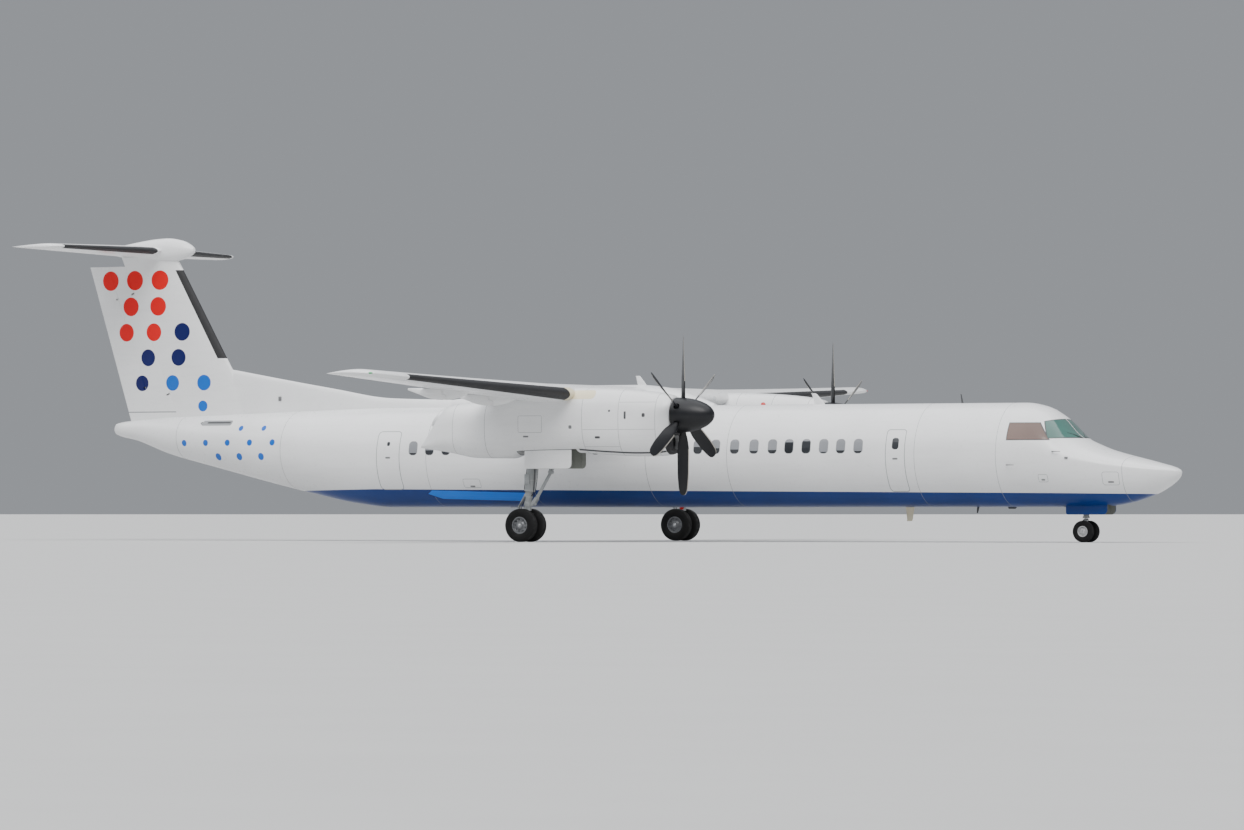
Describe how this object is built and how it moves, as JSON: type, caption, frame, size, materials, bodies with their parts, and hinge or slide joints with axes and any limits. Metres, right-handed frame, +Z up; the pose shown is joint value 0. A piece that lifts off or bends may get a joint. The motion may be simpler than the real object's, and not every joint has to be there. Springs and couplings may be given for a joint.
{
  "type": "turboprop airliner",
  "caption": "High-wing regional turboprop airliner standing on its wheels, with six-blade propellers, a T-tail, moving flaps and rudders, steerable nose wheels and a fold-down entrance stair.",
  "frame": {"origin": "on the ground under the middle of the length and of the span", "axes": "+X forward along the fuselage, +Y to the left wing tip, +Z up"},
  "size_m": [32.83, 28.42, 8.2933],
  "materials": {
    "white_paint": "glossy white aircraft paint with faint panel lines",
    "blue_paint": "glossy dark blue aircraft paint",
    "light_blue_paint": "glossy light blue aircraft paint",
    "red_paint": "glossy red aircraft paint",
    "propeller_black": "satin black composite",
    "boot_rubber": "matt dark rubber of the leading-edge boots",
    "bare_metal": "satin bare metal of exhaust surrounds and trims",
    "dark_opening": "matt black inside intakes and bays",
    "window_dark": "dark glossy cabin window",
    "windshield": "dark greenish glazed cockpit window",
    "engine_metal": "dark engine casing",
    "gear_paint": "light grey landing gear enamel",
    "gear_steel": "ground steel of pistons and axles",
    "tyre_rubber": "matt black aircraft tyre",
    "rim_metal": "satin grey wheel"
  },
  "bodies": {
    "airframe": {"radome": "white_paint", "forward_fuselage": "white_paint", "centre_fuselage": "white_paint", "aft_fuselage": "white_paint", "wing_fairing": "white_paint", "centre_wing": "white_paint", "outer_wing_left": "white_paint", "outer_wing_right": "white_paint", "fin": "white_paint", "tailplane": "white_paint", "nacelle_left": "white_paint", "nacelle_right": "white_paint", "cowl_left": "white_paint", "cowl_right": "white_paint", "engine_left": "engine_metal", "engine_right": "engine_metal", "main_leg_left": "gear_paint", "main_leg_right": "gear_paint", "main_axle_left": "gear_steel", "main_axle_right": "gear_steel", "main_drag_strut_left": "gear_paint", "main_drag_strut_right": "gear_paint", "gear_door_outer_left": "white_paint", "gear_door_outer_right": "white_paint", "gear_door_inner_left": "white_paint", "gear_door_inner_right": "white_paint", "nose_leg": "gear_paint", "nose_drag_strut": "gear_paint", "nose_door_left": "blue_paint", "nose_door_right": "blue_paint"},
    "propeller_left": {"propeller_left": "propeller_black", "spinner_left": "propeller_black"},
    "propeller_right": {"propeller_right": "propeller_black", "spinner_right": "propeller_black"},
    "main_wheels_left": {"main_left_tyre_outer": "tyre_rubber", "main_left_tyre_inner": "tyre_rubber", "main_left_rim_outer": "rim_metal", "main_left_rim_inner": "rim_metal"},
    "main_wheels_right": {"main_right_tyre_outer": "tyre_rubber", "main_right_tyre_inner": "tyre_rubber", "main_right_rim_outer": "rim_metal", "main_right_rim_inner": "rim_metal"},
    "nose_steering": {"nose_axle": "gear_steel"},
    "nose_wheels": {"nose_tyre_left": "tyre_rubber", "nose_tyre_right": "tyre_rubber", "nose_rim_left": "rim_metal", "nose_rim_right": "rim_metal"},
    "aileron_left": {"aileron_left": "white_paint"},
    "aileron_right": {"aileron_right": "white_paint"},
    "flap_outer_left": {"flap_outer_left": "white_paint"},
    "flap_outer_right": {"flap_outer_right": "white_paint"},
    "flap_inner_left": {"flap_inner_left": "white_paint"},
    "flap_inner_right": {"flap_inner_right": "white_paint"},
    "elevator_left": {"elevator_left": "white_paint"},
    "elevator_right": {"elevator_right": "white_paint"},
    "fore_rudder": {"fore_rudder": "white_paint"},
    "trailing_rudder": {"trailing_rudder": "white_paint"},
    "airstair_door": {"airstair_door": "white_paint"}
  },
  "joints": [
    {"name": "propeller_left_spin", "type": "hinge", "parent": "airframe", "child": "propeller_left", "pos_m": [4.435, 4.395, 3.266], "axis": [1, 0, 0], "continuous": true},
    {"name": "propeller_right_spin", "type": "hinge", "parent": "airframe", "child": "propeller_right", "pos_m": [4.435, -4.395, 3.266], "axis": [1, 0, 0], "continuous": true},
    {"name": "main_wheels_left_roll", "type": "hinge", "parent": "airframe", "child": "main_wheels_left", "pos_m": [-0.165, 4.395, 0.432], "axis": [0, 1, 0], "continuous": true},
    {"name": "main_wheels_right_roll", "type": "hinge", "parent": "airframe", "child": "main_wheels_right", "pos_m": [-0.165, -4.395, 0.432], "axis": [0, 1, 0], "continuous": true},
    {"name": "nose_steer", "type": "hinge", "parent": "airframe", "child": "nose_steering", "pos_m": [13.775, 0, 0.7], "axis": [0, 0, 1], "range_deg": [-70, 70]},
    {"name": "nose_wheels_roll", "type": "hinge", "parent": "nose_steering", "child": "nose_wheels", "pos_m": [13.775, 0, 0.2795], "axis": [0, 1, 0], "continuous": true},
    {"name": "aileron_left_hinge", "type": "hinge", "parent": "airframe", "child": "aileron_left", "pos_m": [-0.27969, 9.95, 4.05444], "axis": [0.0319, 0.9986, 0.0411], "range_deg": [-20, 20]},
    {"name": "aileron_right_hinge", "type": "hinge", "parent": "airframe", "child": "aileron_right", "pos_m": [-0.27969, -9.95, 4.05444], "axis": [-0.0319, 0.9986, -0.0411], "range_deg": [-20, 20]},
    {"name": "flap_outer_left_hinge", "type": "hinge", "parent": "airframe", "child": "flap_outer_left", "pos_m": [-0.39372, 5.11, 3.55648], "axis": [-0.0296, -0.9987, -0.0411], "range_deg": [0, 35]},
    {"name": "flap_outer_right_hinge", "type": "hinge", "parent": "airframe", "child": "flap_outer_right", "pos_m": [-0.39372, -5.11, 3.55648], "axis": [0.0296, -0.9987, 0.0411], "range_deg": [0, 35]},
    {"name": "flap_inner_left_hinge", "type": "hinge", "parent": "airframe", "child": "flap_inner_left", "pos_m": [-0.3955, 1.47, 3.55402], "axis": [0, -1, 0], "range_deg": [0, 35]},
    {"name": "flap_inner_right_hinge", "type": "hinge", "parent": "airframe", "child": "flap_inner_right", "pos_m": [-0.3955, -1.47, 3.55402], "axis": [0, -1, 0], "range_deg": [0, 35]},
    {"name": "elevator_left_hinge", "type": "hinge", "parent": "airframe", "child": "elevator_left", "pos_m": [-15.355, 0.3, 7.95], "axis": [0, 1, 0], "range_deg": [-15, 25]},
    {"name": "elevator_right_hinge", "type": "hinge", "parent": "airframe", "child": "elevator_right", "pos_m": [-15.355, -0.3, 7.95], "axis": [0, 1, 0], "range_deg": [-15, 25]},
    {"name": "fore_rudder_hinge", "type": "hinge", "parent": "airframe", "child": "fore_rudder", "pos_m": [-13.4966, 0, 3.54], "axis": [-0.3809, 0, 0.9246], "range_deg": [-18, 18]},
    {"name": "trailing_rudder_hinge", "type": "hinge", "parent": "fore_rudder", "child": "trailing_rudder", "pos_m": [-14.214, 0, 3.54], "axis": [-0.3427, 0, 0.9395], "range_deg": [-18, 18]},
    {"name": "airstair_hinge", "type": "hinge", "parent": "airframe", "child": "airstair_door", "pos_m": [10.235, 1.0153, 1.384], "axis": [-1, 0, 0], "range_deg": [0, 125]}
  ],
  "couplings": [
    {"joint": "aileron_right_hinge", "follows": "aileron_left_hinge", "ratio": -1},
    {"joint": "flap_outer_right_hinge", "follows": "flap_outer_left_hinge", "ratio": 1},
    {"joint": "flap_inner_left_hinge", "follows": "flap_outer_left_hinge", "ratio": 1},
    {"joint": "flap_inner_right_hinge", "follows": "flap_outer_left_hinge", "ratio": 1},
    {"joint": "elevator_right_hinge", "follows": "elevator_left_hinge", "ratio": 1},
    {"joint": "trailing_rudder_hinge", "follows": "fore_rudder_hinge", "ratio": 1}
  ]
}
